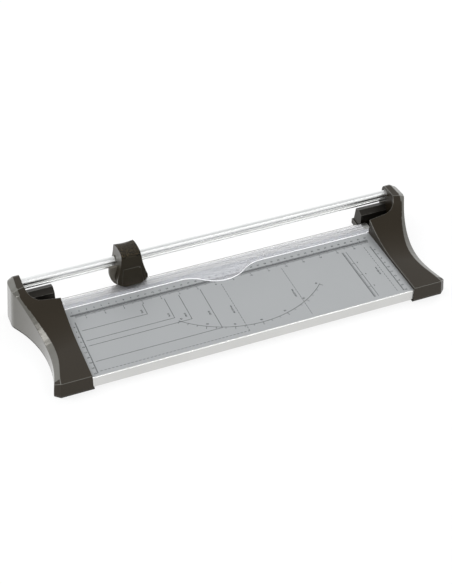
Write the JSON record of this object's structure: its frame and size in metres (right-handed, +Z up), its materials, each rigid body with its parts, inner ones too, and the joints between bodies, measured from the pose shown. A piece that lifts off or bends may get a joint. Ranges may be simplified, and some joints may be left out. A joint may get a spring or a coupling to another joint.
{
  "type": "rotary_paper_trimmer",
  "caption": "Rotary paper trimmer for A3: scaled aluminium board, two moulded end caps, round guide rail with a sliding cutter head, clear pressing strip",
  "frame": {"origin": "middle of the bounding box in plan, at the height of the surface it stands on", "axes": "+X along the cutting line to the user's right, +Y from the user to the guide rail, +Z up"},
  "size_m": [0.57, 0.185, 0.0753],
  "materials": {
    "board_aluminium": "satin extruded aluminium, natural anodised",
    "scale_film": "light grey printed film, semi-matte",
    "knife_steel": "dark hardened tool steel, ground edge",
    "clear_acrylic": "clear acrylic with a ribbed back zone",
    "cap_plastic": "satin injection-moulded ABS, warm dark grey",
    "head_plastic": "satin injection-moulded ABS, warm dark grey",
    "black_plastic": "black moulded ABS",
    "grip_plastic": "fine leather-grained elastomer skin",
    "rail_aluminium": "bright anodised aluminium tube",
    "rod_steel": "bright drawn steel rod",
    "screw_steel": "zinc-plated steel",
    "foot_rubber": "soft black rubber",
    "bush_plastic": "natural acetal",
    "hub_brass": "turned brass",
    "blade_steel": "ground blade steel",
    "spring_steel": "spring steel"
  },
  "bodies": {
    "frame": {"base_board": "board_aluminium", "scale_sheet": "scale_film", "counter_knife": "knife_steel", "knife_screws": "screw_steel", "left_strip_guide": "black_plastic", "right_strip_guide": "black_plastic", "guide_rail": "rail_aluminium", "guide_rod": "rod_steel", "rail_plugs": "screw_steel", "rail_screws": "screw_steel", "left_end_cap": "cap_plastic", "right_end_cap": "cap_plastic", "left_end_block": "black_plastic", "right_end_block": "black_plastic", "block_screws": "screw_steel", "left_base_plate": "black_plastic", "right_base_plate": "black_plastic", "base_screws": "screw_steel", "board_screws": "screw_steel", "rubber_feet": "foot_rubber"},
    "cutter_head": {"head_body": "head_plastic", "head_rear_cover": "head_plastic", "blade_guard": "black_plastic", "grip_pad": "grip_plastic", "blade_cover": "head_plastic", "head_screws": "screw_steel", "rail_bushes": "bush_plastic", "rod_glide": "bush_plastic", "blade_axle": "screw_steel", "axle_clip": "spring_steel", "pressure_spring": "spring_steel"},
    "blade": {"rotary_blade": "blade_steel", "blade_hub": "hub_brass", "hub_washer": "screw_steel"},
    "strip": {"clear_strip": "clear_acrylic", "strip_springs": "spring_steel"}
  },
  "joints": [
    {"name": "head_slide", "type": "slide", "parent": "frame", "child": "cutter_head", "axis": [1, 0, 0], "range_m": [-0.1135, 0.359]},
    {"name": "blade_spin", "type": "hinge", "parent": "cutter_head", "child": "blade", "pos_m": [-0.12, 0.0655, 0.032], "axis": [0, 1, 0], "continuous": true},
    {"name": "strip_lift", "type": "slide", "parent": "frame", "child": "strip", "axis": [0, 0, 1], "range_m": [0, 0.0012], "stiffness_N_per_m": 300, "springref_m": -0.001, "deforming": ["strip_springs"]}
  ],
  "couplings": [
    {"joint": "blade_spin", "follows": "head_slide", "rad_per_m": 71.429}
  ]
}
